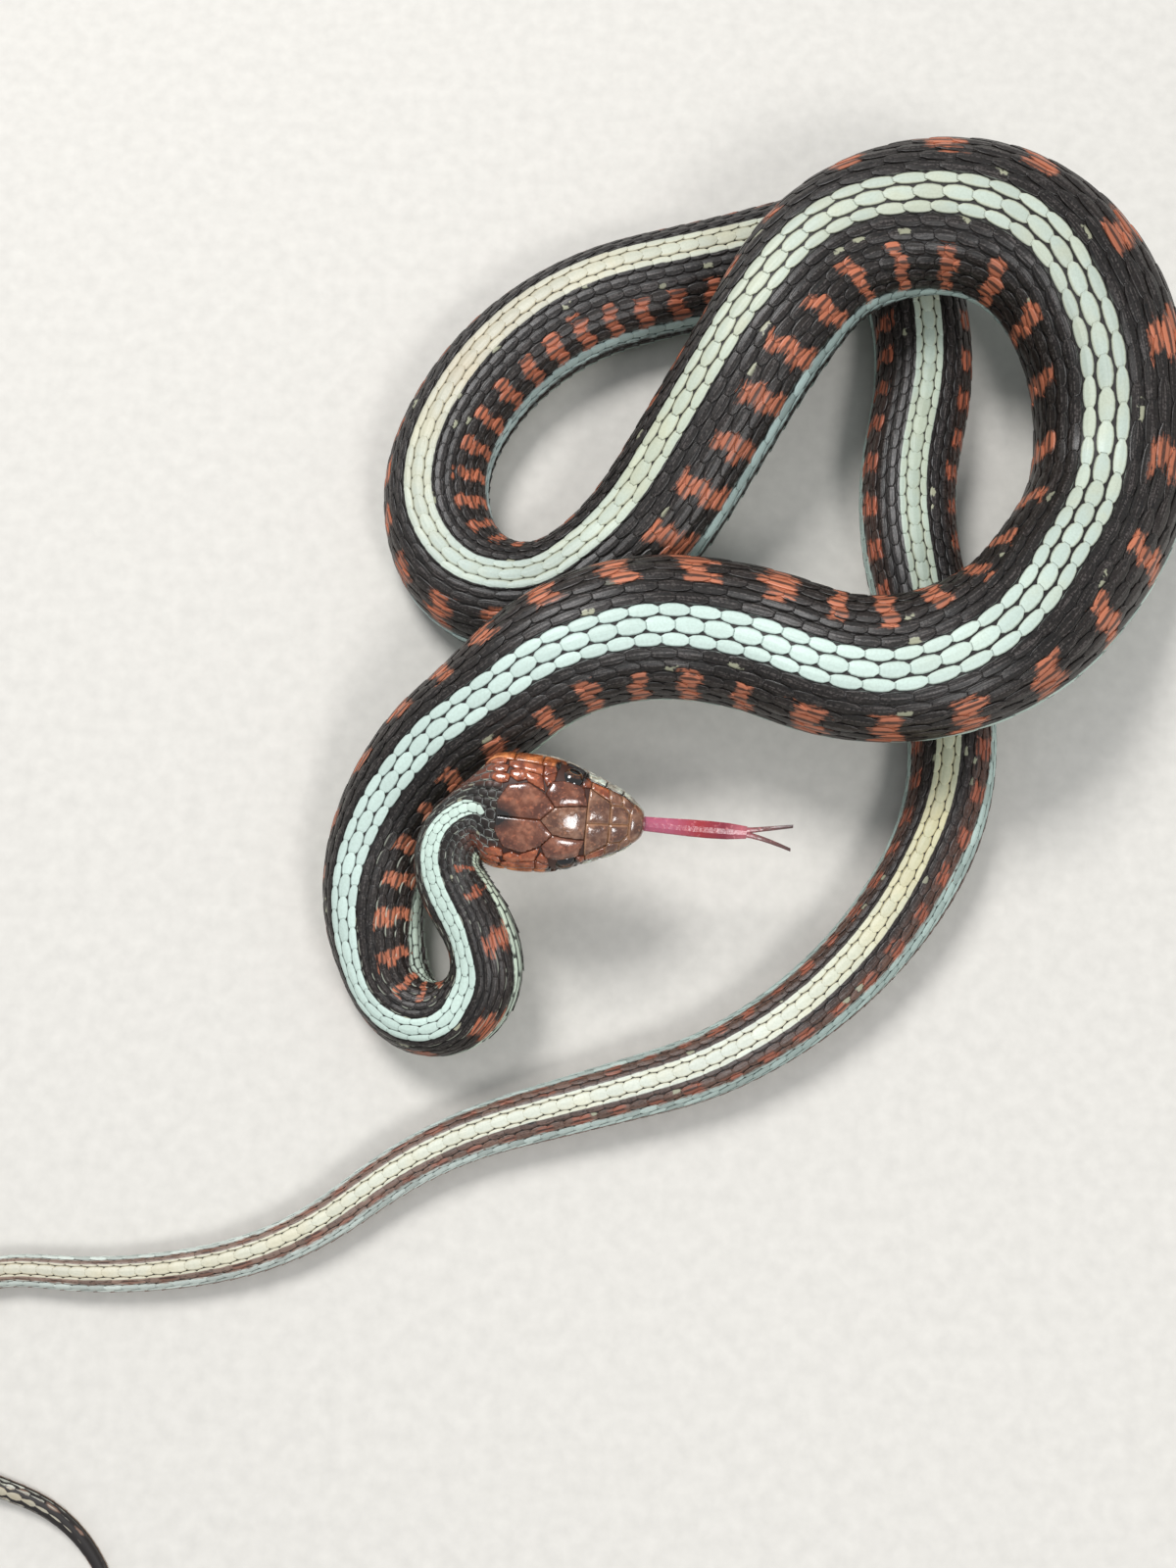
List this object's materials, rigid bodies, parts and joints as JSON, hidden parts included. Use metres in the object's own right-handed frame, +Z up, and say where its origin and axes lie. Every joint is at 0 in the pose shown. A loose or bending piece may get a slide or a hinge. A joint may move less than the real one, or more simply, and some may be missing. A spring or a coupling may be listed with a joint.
{
  "type": "garter snake, still model",
  "caption": "Life-size garter snake lying in a loose coil, head raised over its neck and forked tongue out; a dark body with a pale stripe down the back and red bars on its sides.",
  "frame": {"origin": "on the floor at the middle of the coils' outline", "axes": "+X where the head and tongue point, +Y towards the far loop of the coil, +Z up"},
  "size_m": [0.2032, 0.2382, 0.0324],
  "materials": {
    "head_skin": "glossy red-brown head plates",
    "throat_skin": "smooth pale green-grey plates",
    "body_skin": "satin scales, pale stripe down the back, red bars on the sides",
    "eye": "wet, glossy black",
    "tongue": "moist, salmon red with darker fork"
  },
  "bodies": {
    "root": {"head": "head_skin", "lower_jaw": "throat_skin", "eye_left": "eye", "eye_right": "eye", "tongue": "tongue", "neck_1": "body_skin", "neck_2": "body_skin", "trunk_01": "body_skin", "trunk_02": "body_skin", "trunk_03": "body_skin", "trunk_04": "body_skin", "trunk_05": "body_skin", "trunk_06": "body_skin", "trunk_07": "body_skin", "trunk_08": "body_skin", "trunk_09": "body_skin", "trunk_10": "body_skin", "trunk_11": "body_skin", "trunk_12": "body_skin", "trunk_13": "body_skin", "trunk_14": "body_skin", "tail_1": "body_skin", "tail_2": "body_skin", "tail_3": "body_skin", "tail_4": "body_skin", "tail_5": "body_skin"}
  },
  "joints": []
}
